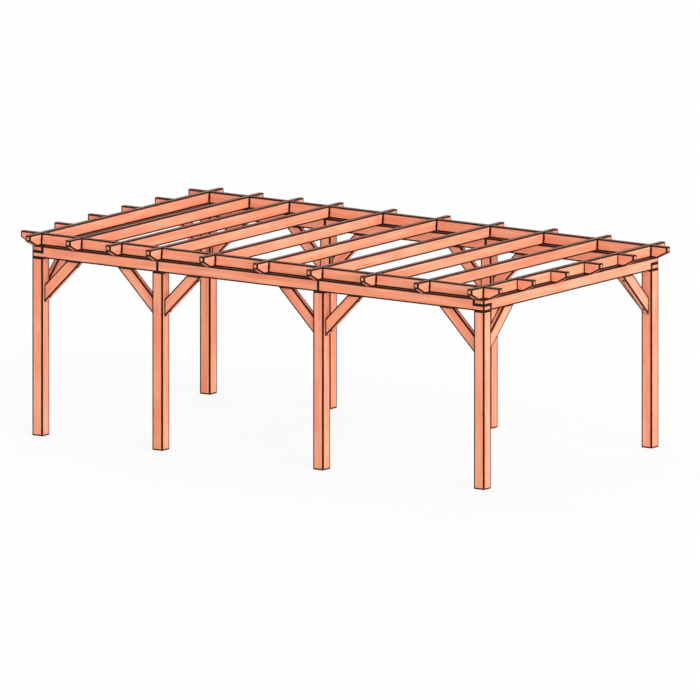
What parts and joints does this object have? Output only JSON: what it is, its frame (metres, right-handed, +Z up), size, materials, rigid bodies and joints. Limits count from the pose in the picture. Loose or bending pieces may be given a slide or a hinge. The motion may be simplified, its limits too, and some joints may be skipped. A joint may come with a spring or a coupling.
{
  "type": "timber patio cover",
  "caption": "Open timber patio cover: square posts with knee braces carry half-lapped beams and a level grid of rafters and rims whose ends run out as shaped tails.",
  "frame": {"origin": "centre of the plan at ground level", "axes": "+X along the long side towards the right end as seen from the front, +Y from the front row of posts to the back row, +Z up"},
  "size_m": [7.1, 4.1, 2.5],
  "materials": {
    "post_timber": "planed and oiled, straight clear grain",
    "beam_timber": "planed and oiled, straight clear grain",
    "brace_timber": "planed and oiled, straight clear grain",
    "roof_timber": "planed and oiled, straight clear grain",
    "screw_steel": "zinc plated"
  },
  "bodies": {
    "root": {"front_post_1": "post_timber", "front_post_2": "post_timber", "front_post_3": "post_timber", "front_post_4": "post_timber", "back_post_1": "post_timber", "back_post_2": "post_timber", "back_post_3": "post_timber", "back_post_4": "post_timber", "front_beam_1": "beam_timber", "front_beam_2": "beam_timber", "front_beam_3": "beam_timber", "back_beam_1": "beam_timber", "back_beam_2": "beam_timber", "back_beam_3": "beam_timber", "left_end_beam": "beam_timber", "right_end_beam": "beam_timber", "front_brace_1_right": "brace_timber", "front_brace_2_left": "brace_timber", "front_brace_2_right": "brace_timber", "front_brace_3_left": "brace_timber", "front_brace_3_right": "brace_timber", "front_brace_4_left": "brace_timber", "back_brace_1_right": "brace_timber", "back_brace_2_left": "brace_timber", "back_brace_2_right": "brace_timber", "back_brace_3_left": "brace_timber", "back_brace_3_right": "brace_timber", "back_brace_4_left": "brace_timber", "left_end_brace_front": "brace_timber", "left_end_brace_back": "brace_timber", "right_end_brace_front": "brace_timber", "right_end_brace_back": "brace_timber", "front_rim": "roof_timber", "back_rim": "roof_timber", "rafter_1": "roof_timber", "rafter_2": "roof_timber", "rafter_3": "roof_timber", "rafter_4": "roof_timber", "rafter_5": "roof_timber", "rafter_6": "roof_timber", "rafter_7": "roof_timber", "rafter_8": "roof_timber", "rafter_9": "roof_timber", "rafter_10": "roof_timber", "end_tails": "roof_timber"}
  },
  "joints": []
}
